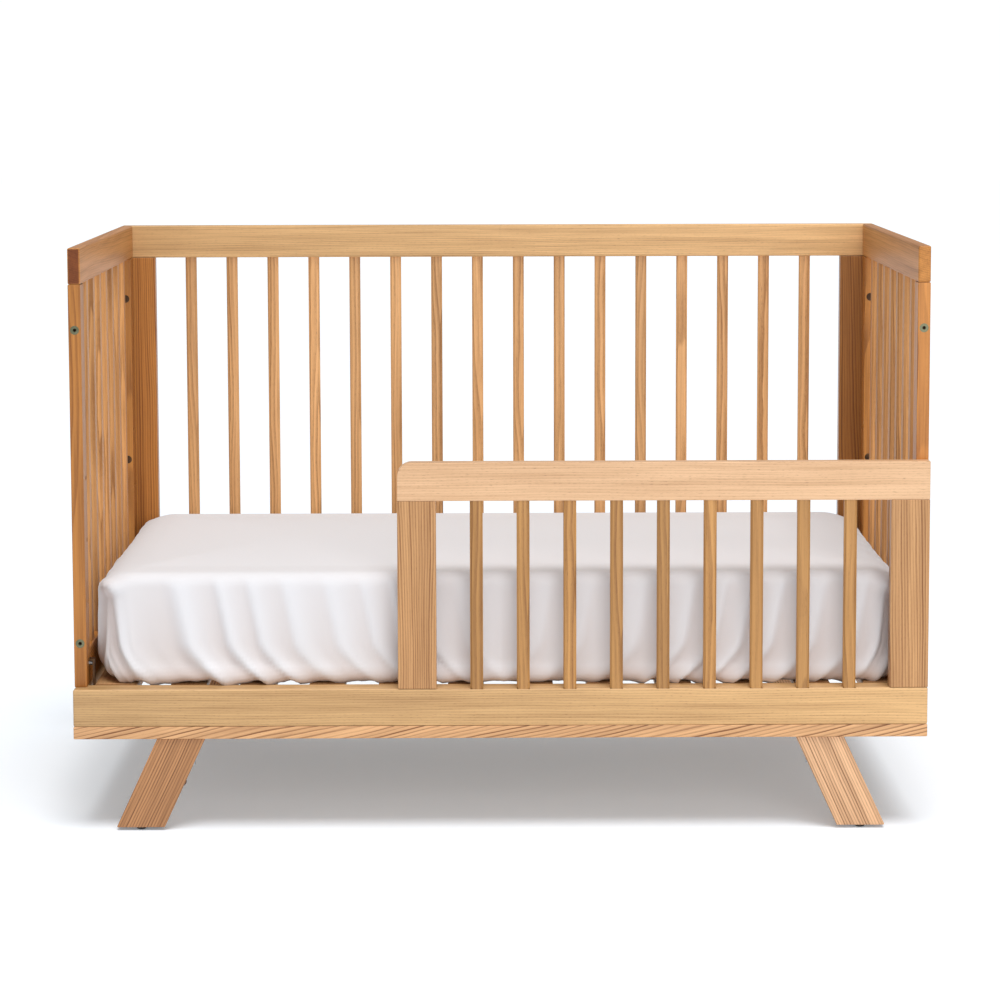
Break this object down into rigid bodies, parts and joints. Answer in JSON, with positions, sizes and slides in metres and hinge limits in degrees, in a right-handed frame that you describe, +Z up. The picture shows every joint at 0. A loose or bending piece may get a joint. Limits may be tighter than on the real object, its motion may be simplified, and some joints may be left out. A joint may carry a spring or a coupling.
{
  "type": "baby crib",
  "caption": "Slatted wooden crib set up as a toddler bed, with a front guard rail, splayed legs, a height-adjustable slatted support and a sheeted mattress.",
  "frame": {"origin": "on the floor, under the middle of the crib", "axes": "+X along the crib to the right as seen from the front, +Y from the open front to the back panel, +Z up"},
  "size_m": [1.365, 0.757, 0.934],
  "materials": {
    "ash_panel": "satin",
    "ash_base": "satin",
    "ash_plinth": "satin",
    "ash_guard": "satin",
    "ash_slat": "satin",
    "ash_leg": "satin",
    "poplar_support": "matte",
    "beech_dowel": "matte",
    "bronzed_steel": "satin",
    "zinc_steel": "satin",
    "dark_glide": "satin",
    "brown_plug": "satin",
    "mattress_ticking": "matte",
    "cotton_sheet": "matte"
  },
  "bodies": {
    "frame": {"back_bottom_rail": "ash_panel", "back_left_stile": "ash_panel", "back_panel_bolts": "bronzed_steel", "back_panel_dowels": "beech_dowel", "back_panel_nuts": "bronzed_steel", "back_right_stile": "ash_panel", "back_slats": "ash_slat", "back_top_rail": "ash_panel", "base_dowels": "beech_dowel", "base_front_rail": "ash_base", "base_left_rail": "ash_base", "base_rear_rail": "ash_base", "base_right_rail": "ash_base", "end_panel_dowels": "beech_dowel", "front_inserts": "bronzed_steel", "glide_feet": "dark_glide", "guard_barrel_nuts": "bronzed_steel", "guard_bolts": "bronzed_steel", "guard_dowels": "beech_dowel", "guard_left_post": "ash_guard", "guard_right_post": "ash_guard", "guard_slats": "ash_slat", "guard_top_rail": "ash_guard", "left_bottom_rail": "ash_panel", "left_cap_rail": "ash_panel", "left_end_slats": "ash_slat", "left_front_stile": "ash_panel", "left_rear_stile": "ash_panel", "leg_edge_plug": "brown_plug", "leg_front_left": "ash_leg", "leg_front_right": "ash_leg", "leg_hanger_bolts": "zinc_steel", "leg_rear_left": "ash_leg", "leg_rear_right": "ash_leg", "plinth_front_board": "ash_plinth", "plinth_left_board": "ash_plinth", "plinth_rear_board": "ash_plinth", "plinth_right_board": "ash_plinth", "plinth_screws": "zinc_steel", "right_bottom_rail": "ash_panel", "right_cap_rail": "ash_panel", "right_end_slats": "ash_slat", "right_front_stile": "ash_panel", "right_rear_stile": "ash_panel", "support_pins": "zinc_steel"},
    "mattress_support": {"support_front_runner": "poplar_support", "support_middle_runner": "poplar_support", "support_rear_runner": "poplar_support", "support_slats": "poplar_support", "support_screws": "zinc_steel", "support_hangers": "bronzed_steel"},
    "mattress": {"mattress_core": "mattress_ticking", "fitted_sheet": "cotton_sheet"}
  },
  "joints": [
    {"name": "support_height", "type": "slide", "parent": "frame", "child": "mattress_support", "axis": [0, 0, 1], "range_m": [0, 0.3]},
    {"name": "mattress_lift", "type": "slide", "parent": "mattress_support", "child": "mattress", "axis": [0, 0, 1], "range_m": [0, 0.7]}
  ]
}
